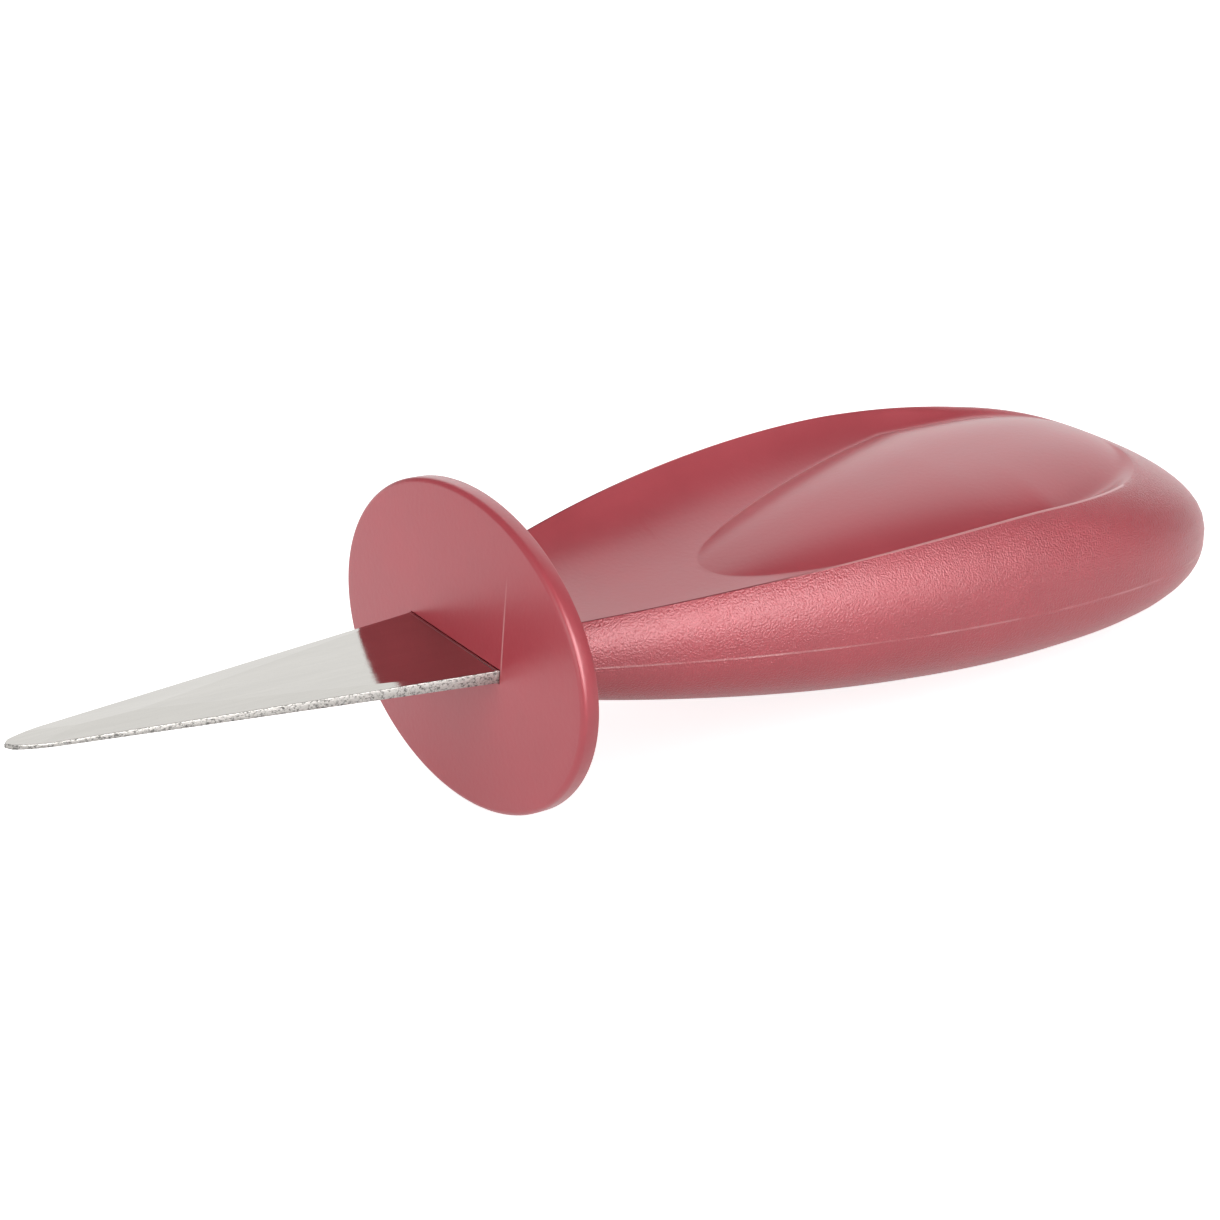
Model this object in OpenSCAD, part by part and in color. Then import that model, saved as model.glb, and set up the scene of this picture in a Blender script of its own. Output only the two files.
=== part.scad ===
// Oyster knife: a short stiff blade, an oval guard and a broad moulded handle whose top is
// scooped for the thumb and swells again into a pad for the palm.
// All sizes are in millimetres. Each piece is drawn straight, in the knife's own frame: X runs
// from the plane of the guard's front rim to the butt, Y is across and Z is up from the plane
// where the handle's two shells part, which is square to the guard. as_it_lies() then sets the
// whole knife down on the surface z = 0, where it rests on the guard's rim and the belly of the
// handle.

/* [Blade] */
// Length of the blade in front of the guard's rim plane
blade_l = 54; // [44:1:70]
// Width of the blade at the guard
blade_w = 18.9; // [15:0.1:21]
// Width that the straight taper comes down to at the point
point_w = 2.9; // [2:0.1:7]
// Length of the rounded point
point_l = 5; // [2:0.5:8]
// Thickness of the blade between its ground flats
blade_t = 1.5; // [1.2:0.1:2.2]
// Distance of the blade's middle plane below the handle's parting plane
blade_drop = 0.35; // [0:0.05:0.5]
// Depth of each ground flat below the tang's rolled face
grind_depth = 0.05; // [0.02:0.01:0.1]
// Distance of the ground flats from the guard's dome
grind_gap = 0.3; // [0.2:0.1:1]
// Distance from the guard at which the edge bevels start
bevel_start = 12; // [6:1:20]
// Distance from the guard at which the two edge bevels meet in a ridge
ridge_start = 39; // [30:1:44]
// Slope of the edge bevels, in degrees
bevel_slope = 6; // [4:0.5:6.5]
// Length of the thinned tip
tip_l = 7.7; // [5:0.1:10]
// Slope of the thinned tip, in degrees
tip_slope = 2.5; // [2:0.5:4]

/* [Tang] */
// Width of the tang
tang_w = 11; // [8:0.5:13]
// Length of the tang behind the guard's rim plane
tang_l = 90; // [86:1:98]
// Diameter of the pins that hold the tang in the handle
pin_d = 5; // [3:0.5:6]
// Distance of the front pin from the guard's rim plane
pin_x = 60; // [56:1:66]
// Distance between the two pins
pin_pitch = 20; // [12:1:21]
// Depth of plastic left beyond each end of a pin
pin_cover = 3; // [2:0.5:4]

/* [Guard] */
// Width of the guard, across the blade
guard_w = 50.3; // [40:0.1:60]
// Height of the guard
guard_h = 37.6; // [34:0.1:44]
// Thickness of the guard at its rim
guard_t = 2.2; // [1.6:0.1:3.5]
// Rise of the guard's domed face above its rim plane
guard_dome = 0.3; // [0.2:0.1:1]
// Width of the rounded edge of the guard's face
guard_round = 0.2; // [0.1:0.05:1]
// Width of the small round at the back of the guard's rim
guard_back_round = 0.2; // [0.1:0.05:0.5]
// Distance of the guard's centre below the handle's parting plane
guard_drop = 0.3; // [0:0.1:1]

/* [Handle] */
// Distance from the guard's rim plane to the end of the butt
handle_l = 117; // [110:1:130]
// Greatest width of the handle
handle_w = 51.8; // [44:0.2:58]
// Width of the handle at the guard
nose_w = 18; // [16:0.5:24]
// Distance of the widest place from the guard's rim plane
widest_x = 75; // [66:1:82]
// Greatest depth of the belly below the parting plane
belly_h = 11.7; // [10:0.1:15]
// Depth of the belly at the guard
belly_nose_h = 5.2; // [4:0.1:7]
// Distance of the deepest place of the belly from the guard's rim plane
deepest_x = 68; // [60:1:78]
// Greatest height that the top would have if it weren't scooped
crown_h = 16; // [14:0.1:18]
// Height of the unscooped top at the guard
crown_nose_h = 4.2; // [3.8:0.1:6]
// Distance of the highest place of the unscooped top from the guard's rim plane
highest_x = 71.5; // [64:0.5:80]

/* [Scoop and pad] */
// Height of the scoop's rim at the guard
rim_nose_h = 3.3; // [3:0.1:3.6]
// Height at which the rim runs level over the widest part
rim_h = 11.5; // [10:0.1:12.5]
// Distance from the guard's rim plane at which the rim becomes level
rim_level_x = 73.5; // [66:0.5:82]
// Depth of the scoop below its rim at the guard
scoop_nose_h = 1.1; // [0.8:0.1:1.2]
// Depth of the scoop below its rim at the front of the pad
scoop_h = 6; // [4:0.1:6.2]
// Distance of the pad's front end from the guard's rim plane
pad_x = 36.5; // [32:0.5:42]
// Share of the height between the rim and the unscooped top that the pad rises to in its middle
pad_crown = 0.3; // [0.1:0.05:0.9]

/* [Fit] */
// Gap all round the tang, in the guard and in the handle
tang_gap = 0.15; // [0.1:0.05:0.3]
// Gap all round a pin
pin_gap = 0.05; // [0.05:0.01:0.1]
// Gap past the end of the tang and of each pin
end_gap = 0.3; // [0.2:0.05:0.5]

/* [Hidden] */
$fn = 64;

steel = [0.78, 0.77, 0.75];
pin_steel = [0.62, 0.62, 0.62];
raspberry = [0.70, 0.33, 0.36];

// Powers of the curves along the handle, from the nose to the widest place and on to the butt
nose_power = 1.9;
rim_power = 1.5;
butt_power_w = 2.6;
butt_power_belly = 2.15;
butt_power_crown = 1.95;
// Power of the handle's cross-section: 2 is an ellipse, more is squarer
section_power = 2.5;
// Powers of the scoop's cross-section and of its fading towards the butt
scoop_power = 4;
fade_power = 7;
// Powers of the pad's outline, its rise from front to back and its rounded shoulder
pad_outline_power = 2.4;
pad_rise_power = 1.7;
pad_shoulder_power = 0.9;

// The rim runs no closer to the unscooped top than this share of its height, and the pad no
// closer to the rim than this share of the way across, so that both keep a width to the end
rim_share = 0.985;
pad_share = 0.84;
// Share of the way across that the middle strip keeps in front of the pad
strip_share = 0.12;

// How far the shells are drawn past the guard's back, before their noses are cut square there
nose_lap = 1;
// Stations along the handle: in front of the pad, and from the pad to the butt
front_stations = 10;
pad_stations = 40;
// How closely the stations bunch at both ends of the pad, from 0 to 1
bunching = 0.8;
// Points up each flank, down each side of the scoop, over half the pad and round half the belly
flank_n = 6;
side_n = 5;
half_pad_n = 7;
half_belly_n = 9;

// Steps round the edge of the guard's face and up its dome, and sides of each outline
edge_steps = 4;
dome_steps = 4;
ring_sides = 72;

// Steps round half of the blade's point, and how far the tang's outline laps into the blade's
point_steps = 10;
tang_lap = 1;
// Chamfer at both ends of a pin
pin_chamfer = 0.5;
// The steepest that the knife could lie, and how often the angle is halved to find how it does
most_tilt = 20;
halvings = 30;

far = 2 * (handle_l + blade_l);

// One curve along the handle: up from a nose to a top at a place, then round to nothing at the end
function swell(x, nose, top, at, butt_power) =
    x < at ? nose + (top - nose) * (1 - pow(1 - x / at, nose_power))
    : top * pow(max(0, 1 - pow((x - at) / (handle_l - at), butt_power)), 1 / butt_power);

function half_w(x) = swell(x, nose_w / 2, handle_w / 2, widest_x, butt_power_w);
function belly(x) = swell(x, belly_nose_h, belly_h, deepest_x, butt_power_belly);
function crown(x) = swell(x, crown_nose_h, crown_h, highest_x, butt_power_crown);

// The squared-off arch of the section, where 0 is the middle and 1 is the side
function arch(t) = pow(max(0, 1 - pow(abs(t), section_power)), 1 / section_power);
function unscooped_z(x, y) = crown(x) * arch(y / half_w(x));

// Height and half-width of the scoop's rim, which lies on the unscooped skin
function rim_z(x) = min(rim_share * crown(x),
    rim_nose_h + (rim_h - rim_nose_h) * (1 - pow(max(0, 1 - x / rim_level_x), rim_power)));
function rim_y(x) = half_w(x) * arch(rim_z(x) / crown(x));

// The place on the butt where the level rim closes over the top
closing = pow(1 - pow(rim_h / crown_h, butt_power_crown), 1 / butt_power_crown);
pad_end_x = highest_x + (handle_l - highest_x) * closing;
// How far along the pad a place is, from 0 at its front to 1 at its end, and how much of the
// scoop has faded there
function along(x) = min(1, max(0, (x - pad_x) / (pad_end_x - pad_x)));
function fading(x) = pow(along(x), fade_power);

// The scoop, as if it had no pad
function scoop_depth(x) = scoop_nose_h + (scoop_h - scoop_nose_h) * sin(90 * min(1, x / pad_x));
function scoop_z(x, y) =
    let (level = rim_z(x) - scoop_depth(x) * (1 - pow(abs(y) / rim_y(x), scoop_power)))
    level + (unscooped_z(x, y) - level) * fading(x);

// The pad rises from a crease at this half-width to this height along its middle
function pad_y(x) = rim_y(x) * min(pad_share, pow(along(x), 1 / pad_outline_power));
function pad_top(x) = let (share = pad_crown + (1 - pad_crown) * fading(x),
        full = rim_z(x) + share * (crown(x) - rim_z(x)))
    scoop_z(x, 0) + (full - scoop_z(x, 0)) * (1 - pow(1 - along(x), pad_rise_power));
function shoulder_power(x) = pad_shoulder_power + (1 - pad_shoulder_power) * along(x);
function pad_fall(x, y) = let (edge = arch(pad_y(x) / half_w(x)))
    pow(max(0, (arch(y / half_w(x)) - edge) / (1 - edge)), shoulder_power(x));
function top_z(x, y) = let (crease_z = scoop_z(x, pad_y(x)))
    along(x) > 0 && abs(y) < pad_y(x) ? crease_z + (pad_top(x) - crease_z) * pad_fall(x, y)
    : scoop_z(x, y);

// Half-width of the middle strip of the surface, which is the pad where there is one
function strip_y(x) = max(pad_y(x), along(x) > 0 ? 0 : strip_share * rim_y(x));

function bunched(q) = q - bunching * sin(360 * q) / (2 * PI);
nose_x = guard_t - nose_lap;
stations = concat(
    [for (i = [0:front_stations - 1]) nose_x + (pad_x - nose_x) * i / front_stations],
    [for (i = [0:pad_stations - 1]) pad_x + (handle_l - pad_x) * bunched(i / pad_stations)]);

// Half a section of each shell, from the parting plane at the side to the middle
function upper_half(x) = concat(
    [for (k = [0:flank_n]) let (z = rim_z(x) * k / flank_n) [half_w(x) * arch(z / crown(x)), z]],
    [for (k = [1:side_n]) let (y = rim_y(x) + (strip_y(x) - rim_y(x)) * k / side_n) [y, top_z(x, y)]],
    [for (k = [1:half_pad_n]) let (y = strip_y(x) * (1 - k / half_pad_n)) [y, top_z(x, y)]]);
function lower_half(x) = [for (k = [0:half_belly_n]) let (a = 90 * k / half_belly_n)
    [half_w(x) * pow(cos(a), 2 / section_power), -belly(x) * pow(sin(a), 2 / section_power)]];

// A whole section: both halves, then a point in the middle of the parting plane
function mirrored(half) = concat(
    half, [for (k = [len(half) - 2:-1:0]) [-half[k][0], half[k][1]]], [[0, 0]]);

// A solid through one section at each place along X, closed flat at the first and to a point after
// the last. turn is 1 where that is the way of a right-hand screw turned as the sections run, and
// -1 where it is against it.
module lofted(places, sections, end, turn) {
    m = len(sections[0]);
    n = len(sections);
    last = (n - 1) * m;
    points = concat(
        [for (i = [0:n - 1]) for (p = sections[i]) [places[i], p[0], p[1]]],
        [end]);
    skin = [for (i = [0:n - 2]) for (j = [0:m - 1])
        let (a = i * m + j, b = i * m + (j + 1) % m) each [[a, b, b + m], [a, b + m, a + m]]];
    front = [for (j = [0:m - 3]) [m - 1, j + 1, j]];
    back = [for (j = [0:m - 1]) [last + j, last + (j + 1) % m, n * m]];
    faces = concat(skin, front, back);
    polyhedron(points, turn < 0 ? faces : [for (f = faces) [f[2], f[1], f[0]]]);
}

// Lowest points of the guard and of the belly when the knife is tilted by an angle
function guard_low(tilt) =
    -(guard_t - guard_back_round) * sin(tilt) - (guard_h / 2 + guard_drop) * cos(tilt);
function belly_low(tilt) = min([for (x = stations) -x * sin(tilt) - belly(x) * cos(tilt)]);
// The angle at which both touch the same surface, by halving
function rest_tilt(low, high, steps) = let (mid = (low + high) / 2)
    steps == 0 ? mid
    : belly_low(mid) > guard_low(mid) ? rest_tilt(mid, high, steps - 1)
    : rest_tilt(low, mid, steps - 1);
tilt = rest_tilt(0, most_tilt, halvings);
// The origin lies under the middle of the knife's length
middle_x = (handle_l - blade_l) / 2 * cos(tilt);

module as_it_lies() {
    translate([-middle_x, 0, -belly_low(tilt)]) rotate([0, tilt, 0]) children();
}

// Half-width of the blade at a distance in front of the guard
function blade_half(d) = let (round = max(0, (d - blade_l + point_l) / point_l))
    (blade_w + (point_w - blade_w) * d / blade_l) / 2 * sqrt(max(0, 1 - round * round));
blade_side = concat([[0, blade_w / 2]],
    [for (i = [0:point_steps - 1]) let (d = blade_l - point_l * cos(90 * i / point_steps))
        [-d, blade_half(d)]]);

bevel_turn = atan2(blade_half(bevel_start), ridge_start - bevel_start);
// Height of the ridge, above the blade's middle plane, where the thinned tip starts
tip_start_z = blade_t / 2
    - tan(bevel_slope) * (blade_l - tip_l - ridge_start) * sin(bevel_turn);

tang_t = blade_t + 2 * grind_depth;
pin_places = [pin_x, pin_x + pin_pitch];
pin_up = min([for (x = pin_places) pad_top(x)]) - pin_cover;
pin_down = min([for (x = pin_places) belly(x)]) - pin_cover;

module blade_blank() {
    linear_extrude(tang_t, center = true)
        difference() {
            union() {
                polygon(concat(blade_side, [[-blade_l, 0]],
                    [for (i = [len(blade_side) - 1:-1:0]) [blade_side[i][0], -blade_side[i][1]]]));
                translate([-tang_lap, -tang_w / 2])
                    square([tang_lap + tang_l - tang_w / 2, tang_w]);
                translate([tang_l - tang_w / 2, 0]) circle(d = tang_w);
            }
            for (x = pin_places) translate([x, 0]) circle(d = pin_d + 2 * pin_gap);
        }
}

// What is ground off above the flat, above one bevelled edge and above the tip
module flat_cut() {
    translate([-far - guard_dome - grind_gap, -far, blade_t / 2]) cube([far, 2 * far, far]);
}
module bevel_cut() {
    translate([-ridge_start, 0, blade_t / 2]) rotate([0, 0, bevel_turn]) rotate([-bevel_slope, 0, 0])
        translate([-far, -far, 0]) cube([2 * far, 2 * far, far]);
}
module tip_cut() {
    translate([tip_l - blade_l, 0, tip_start_z]) rotate([0, -tip_slope, 0])
        translate([-far, -far, 0]) cube([2 * far, 2 * far, far]);
}

module blade() {
    color(steel) as_it_lies() translate([0, 0, -blade_drop]) difference() {
        blade_blank();
        for (under = [0, 1], side = [0, 1]) mirror([0, 0, under]) mirror([0, side, 0]) bevel_cut();
        for (under = [0, 1]) mirror([0, 0, under]) {
            flat_cut();
            tip_cut();
        }
    }
}

// The room that the blade and its tang need in the guard and the handle
module tang_room() {
    h = tang_t + 2 * tang_gap;
    floor_z = -blade_drop - h / 2;
    translate([-far, -blade_w / 2 - tang_gap, floor_z]) cube([far, blade_w + 2 * tang_gap, h]);
    translate([-far, -tang_w / 2 - tang_gap, floor_z])
        cube([far + tang_l + end_gap, tang_w + 2 * tang_gap, h]);
}

// Half-width and half-height of the guard's face inside its rounded edge
face_w = guard_w / 2 - guard_round;
face_h = guard_h / 2 - guard_round;
// Outlines of the guard, each as its place along X, half-width and half-height: the back, the
// rounded edge of the face, and the dome
back_rings = [
    [guard_t, guard_w / 2 - guard_back_round, guard_h / 2 - guard_back_round],
    [guard_t - guard_back_round, guard_w / 2, guard_h / 2]];
edge_rings = [for (i = [0:edge_steps]) let (a = 90 * i / edge_steps)
    [guard_round * (1 - sin(a)), face_w + guard_round * cos(a), face_h + guard_round * cos(a)]];
dome_rings = [for (i = [1:dome_steps]) let (share = 1 - i / (dome_steps + 1))
    [-guard_dome * (1 - share * share), face_w * share, face_h * share]];
guard_rings = concat(back_rings, edge_rings, dome_rings);

function oval(half_w, half_h) = [for (i = [0:ring_sides - 1]) let (a = 360 * i / ring_sides)
    [half_w * cos(a), half_h * sin(a) - guard_drop]];

module guard() {
    color(raspberry) as_it_lies() difference() {
        lofted([for (r = guard_rings) r[0]], [for (r = guard_rings) oval(r[1], r[2])],
            [-guard_dome, 0, -guard_drop], -1);
        tang_room();
    }
}

// What is cut off the noses of the shells, so that they meet the guard flat
module nose_cut() {
    translate([guard_t - far, -far / 2, -far / 2]) cube(far);
}

module pin_room() {
    for (x = pin_places) translate([x, 0, -pin_down - end_gap])
        cylinder(h = pin_down + pin_up + 2 * end_gap, d = pin_d + 2 * pin_gap);
}

module handle_upper() {
    color(raspberry) as_it_lies() difference() {
        lofted(stations, [for (x = stations) mirrored(upper_half(x))], [handle_l, 0, 0], 1);
        nose_cut();
        tang_room();
        pin_room();
    }
}

module handle_lower() {
    color(raspberry) as_it_lies() difference() {
        lofted(stations, [for (x = stations) mirrored(lower_half(x))], [handle_l, 0, 0], -1);
        nose_cut();
        tang_room();
        pin_room();
    }
}

module tang_pins() {
    pin_l = pin_down + pin_up;
    color(pin_steel) as_it_lies() for (x = pin_places) translate([x, 0, -pin_down])
        rotate_extrude() polygon([
            [0, 0], [pin_d / 2 - pin_chamfer, 0], [pin_d / 2, pin_chamfer],
            [pin_d / 2, pin_l - pin_chamfer], [pin_d / 2 - pin_chamfer, pin_l], [0, pin_l]]);
}

blade();
guard();
handle_upper();
handle_lower();
tang_pins();
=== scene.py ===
"""Oyster knife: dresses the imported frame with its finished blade, guard and moulded handle."""

from math import atan2, cos, pi, radians, sin, tan

import bpy
import numpy as np
from bpy.props import FloatProperty, FloatVectorProperty, PointerProperty
from bpy.types import Operator, Panel, PropertyGroup
from mathutils import Matrix, Vector


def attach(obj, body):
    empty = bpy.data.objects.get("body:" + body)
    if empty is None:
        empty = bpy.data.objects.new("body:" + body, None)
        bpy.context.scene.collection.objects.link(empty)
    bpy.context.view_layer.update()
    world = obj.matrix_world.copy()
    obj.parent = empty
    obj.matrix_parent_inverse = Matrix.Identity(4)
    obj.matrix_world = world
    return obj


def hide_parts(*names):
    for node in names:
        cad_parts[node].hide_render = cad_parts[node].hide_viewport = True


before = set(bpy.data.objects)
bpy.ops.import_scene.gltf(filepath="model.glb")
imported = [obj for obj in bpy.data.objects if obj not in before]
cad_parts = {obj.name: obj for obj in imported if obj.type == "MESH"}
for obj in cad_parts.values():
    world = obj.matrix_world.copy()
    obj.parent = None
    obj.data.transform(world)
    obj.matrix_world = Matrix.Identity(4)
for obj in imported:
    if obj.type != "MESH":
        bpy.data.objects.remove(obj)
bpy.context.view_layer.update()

bl_info = {
    "name": "Oyster knife",
    "version": (1, 0, 0),
    "blender": (4, 5, 0),
    "location": "3D View > Sidebar > Oyster knife",
    "description": "Builds the finished surfaces of an oyster knife round its packed frame",
    "category": "Object",
}

MM = 0.001

# how finely the pieces are drawn
GUARD_POINTS = 224
CURVE_STEPS = 14
RIM_STOP, CREASE_STOP, MIDDLE_STOP = 14, 30, 46

# grain of the plastic: lines per metre and depth in metres
FLANK_GRAIN = (4200.0, 0.00014)
SMOOTH_GRAIN = (1500.0, 0.00002)

# the handle's material slots: the rim's paints shade near the nose and a highlight further back,
# the crease's paints a highlight
FLANK, SCOOP, RIM_SHADE_AND_HIGHLIGHT, CREASE_HIGHLIGHT = range(4)

# the studio: how far each glow spreads, as the cosines at which it starts and is full
BACKDROP_SPREAD = (0.74, 0.88)
KEY_SPREAD = (0.80, 0.97)
FLOOR_WIDTH = 6
SENSOR_WIDTH = 36


def size(name, millimetres, description):
    """A length in the sidebar."""
    return FloatProperty(name=name, description=description, default=millimetres * MM,
                         precision=5, unit="LENGTH", subtype="DISTANCE")


def power(name, value, description):
    """The power of a curve in the sidebar."""
    return FloatProperty(name=name, description=description, default=value, min=0.1, max=10)


def colour(name, value, description):
    """A colour in the sidebar."""
    return FloatVectorProperty(name=name, description=description, default=value, size=3,
                               min=0, max=1, subtype="COLOR")


# ---- sizes and colours ----

class BladeSizes(PropertyGroup):
    """The blade and its tang"""
    length: size("Length", 54, "Blade in front of the guard's rim plane")
    width: size("Width", 18.9, "Blade at the guard")
    point_width: size("Point width", 2.9, "Width that the taper comes down to at the point")
    point_length: size("Point length", 5, "Rounded point")
    thickness: size("Thickness", 1.5, "Blade between its ground flats")
    drop: size("Drop", 0.35, "Distance of the blade's middle plane below the parting plane")
    grind: size("Grind", 0.05, "Depth of each ground flat below the tang's face")
    grind_start: size("Grind start", 0.6, "Distance of the ground flats from the rim plane")
    bevel_start: size("Bevel start", 6, "Where the edge bevels start")
    ridge_start: size("Ridge start", 39, "Where the edge bevels meet in a ridge")
    bevel_slope: FloatProperty(name="Bevel slope", description="Slope of the edge bevels",
                               default=radians(6), subtype="ANGLE")
    tip_length: size("Tip length", 7.7, "Thinned tip")
    tip_slope: FloatProperty(name="Tip slope", description="Slope of the thinned tip",
                             default=radians(2.5), subtype="ANGLE")
    tang_width: size("Tang width", 11, "Tang inside the handle")
    tang_length: size("Tang length", 90, "Tang behind the guard's rim plane")
    edge_round: size("Edge round", 0.07, "Small round along every ground edge")


class GuardSizes(PropertyGroup):
    """The oval guard"""
    width: size("Width", 50.3, "Guard across the blade")
    height: size("Height", 37.6, "Guard from bottom to top")
    thickness: size("Thickness", 2.2, "Guard at its rim")
    dome: size("Dome", 0.3, "Rise of the face above the rim plane")
    face_round: size("Face round", 0.7, "Rounded edge of the face")
    back_round: size("Back round", 0.2, "Rounded edge of the back")
    drop: size("Drop", 0.3, "Distance of the guard's centre below the parting plane")
    slot_gap: size("Slot gap", 0.08, "Gap all round the tang")


class HandleSizes(PropertyGroup):
    """The moulded handle, from the guard's rim plane to the butt"""
    length: size("Length", 117, "Rim plane to the end of the butt")
    width: size("Width", 51.8, "Greatest width")
    nose_width: size("Nose width", 18, "Width at the guard")
    widest: size("Widest place", 75, "Distance of the widest place from the rim plane")
    belly: size("Belly", 11.7, "Greatest depth below the parting plane")
    nose_belly: size("Nose belly", 5.2, "Depth of the belly at the guard")
    deepest: size("Deepest place", 68, "Distance of the deepest place from the rim plane")
    crown: size("Crown", 16, "Greatest height of the unscooped top")
    nose_crown: size("Nose crown", 4.2, "Height of the unscooped top at the guard")
    highest: size("Highest place", 71.5, "Distance of the highest place from the rim plane")
    nose_rim: size("Nose rim", 3.3, "Height of the scoop's rim at the guard")
    rim: size("Rim", 11.5, "Height at which the rim runs level")
    rim_level: size("Rim level", 73.5, "Where the rim becomes level")
    nose_scoop: size("Nose scoop", 1.1, "Depth of the scoop at the guard")
    scoop: size("Scoop", 6, "Depth of the scoop at the front of the pad")
    pad_start: size("Pad start", 36.5, "Front end of the pad")
    pad_crown: FloatProperty(name="Pad crown", default=0.3, min=0, max=1, subtype="FACTOR",
                             description="Share of the height from rim to crown that the pad fills")
    pad_share: FloatProperty(name="Pad share", default=0.84, min=0.5, max=0.97, subtype="FACTOR",
                             description="Share of the way out to the rim that the pad reaches")
    edge_round: size("Edge round", 0.2, "Softness of the rim and the crease")
    bead: size("Bead", 0.06, "Height of the fine bead along the rim")
    flash: size("Flash", 0.05, "Height of the fine ridge along the parting line")
    nose_power: power("Nose power", 1.9, "From the nose to the widest place")
    rim_power: power("Rim power", 1.5, "Rise of the rim")
    butt_power: power("Butt power", 2.6, "Width, from the widest place to the butt")
    belly_power: power("Belly power", 2.15, "Belly, from the deepest place to the butt")
    crown_power: power("Crown power", 1.95, "Crown, from the highest place to the butt")
    section_power: power("Section power", 2.5, "Squareness of the cross-section")
    scoop_power: power("Scoop power", 4, "Cross-section of the scoop")
    fade_power: power("Fade power", 7, "Fading of the scoop towards the butt")
    outline_power: power("Outline power", 2.4, "Outline of the pad")
    rise_power: power("Rise power", 1.7, "Rise of the pad from front to back")
    shoulder_power: power("Shoulder power", 0.9, "Rounded shoulder of the pad")


class Finishes(PropertyGroup):
    """Colours of the steel and the plastic"""
    steel: colour("Steel", (0.57, 0.555, 0.525), "Ground stainless steel")
    cut_steel: colour("Cut steel", (0.53, 0.51, 0.485), "Raw cut edge of the blade")
    pin: colour("Pin", (0.45, 0.45, 0.45), "Plain round bar")
    raspberry: colour("Raspberry", (0.48, 0.046, 0.066), "Moulded plastic")
    raspberry_deep: colour("Deep raspberry", (0.44, 0.039, 0.057), "The plastic's deeper tone")
    # the pale flash tone also paints highlights: along the handle's rim and the pad's crease, and
    # up the guard from its slot
    flash: colour("Flash", (0.66, 0.26, 0.27), "Pale plastic along the parting line")


class Studio(PropertyGroup):
    """Camera, lamps and floor"""
    camera_place: FloatVectorProperty(
        name="Camera", description="Place of the camera", subtype="TRANSLATION", unit="LENGTH",
        default=(-0.1488497, -0.1931784, 0.1333280), precision=6)
    camera_turn: FloatVectorProperty(
        name="Camera turn", description="Rotation of the camera", subtype="EULER",
        default=(radians(63.97527), radians(0.48859), radians(-36.04165)), precision=6)
    lens: FloatProperty(name="Lens", description="Focal length on a 36 mm sensor, in millimetres",
                        default=64.918)
    surround: FloatProperty(name="Surround", description="Strength of the pale surround",
                            default=0.69)
    dim: FloatProperty(name="Dim side", default=0.15,
                       description="Strength of the surround's reflection on the camera's side")
    glow: FloatProperty(name="Backdrop", default=1.18,
                        description="Strength of the reflection of the backdrop behind the knife")
    glow_turn: FloatVectorProperty(name="Backdrop direction", subtype="DIRECTION",
                                   description="Where the backdrop is brightest",
                                   default=(0.72, 0.62, 0.33))
    key_power: FloatProperty(name="Key lamp", description="Power of the softbox on the near side",
                             default=0.22, unit="POWER")
    key_place: FloatVectorProperty(name="Key lamp place", subtype="TRANSLATION", unit="LENGTH",
                                   description="Place of the softbox on the near side",
                                   default=(0.10, -0.48, 0.335))
    key_size: size("Key lamp size", 260, "Side of the square softbox")
    fill_power: FloatProperty(name="Fill lamp", description="Power of the softbox before the guard",
                              default=1.2, unit="POWER")
    fill_place: FloatVectorProperty(name="Fill lamp place", subtype="TRANSLATION", unit="LENGTH",
                                    description="Place of the softbox before the guard",
                                    default=(-0.62, -0.12, 0.30))
    fill_size: size("Fill lamp size", 500, "Side of the square softbox")
    key_glow: FloatProperty(name="Key reflection", default=8.0,
                            description="Strength of the near softbox's reflection in gloss")
    key_turn: FloatVectorProperty(name="Key reflection direction", subtype="DIRECTION",
                                  description="Where the near softbox is reflected from",
                                  default=(0.0, -0.85, 0.53))
    floor_glow: FloatProperty(name="Floor glow", default=0.82,
                              description="Light that the floor adds for the camera")
    floor_gloss: FloatProperty(name="Floor in gloss", default=0.3,
                               description="Light that the floor adds for gloss and for glass")


class KnifeSettings(PropertyGroup):
    """All that a user may change"""
    blade: PointerProperty(type=BladeSizes)
    guard: PointerProperty(type=GuardSizes)
    handle: PointerProperty(type=HandleSizes)
    finishes: PointerProperty(type=Finishes)
    studio: PointerProperty(type=Studio)


def settings():
    """What the sidebar holds."""
    return bpy.context.scene.oyster_knife


# ---- how the knife lies ----

def swell(x, nose, top, at, end, front_power, butt_power):
    """One curve along the handle: up from a nose to a top at a place, then round to nothing."""
    front = nose + (top - nose) * (1 - np.clip(1 - x / at, 0, 1) ** front_power)
    round_off = 1 - np.clip((x - at) / (end - at), 0, 1) ** butt_power
    butt = top * np.clip(round_off, 0, 1) ** (1 / butt_power)
    return np.where(x < at, front, butt)


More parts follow.
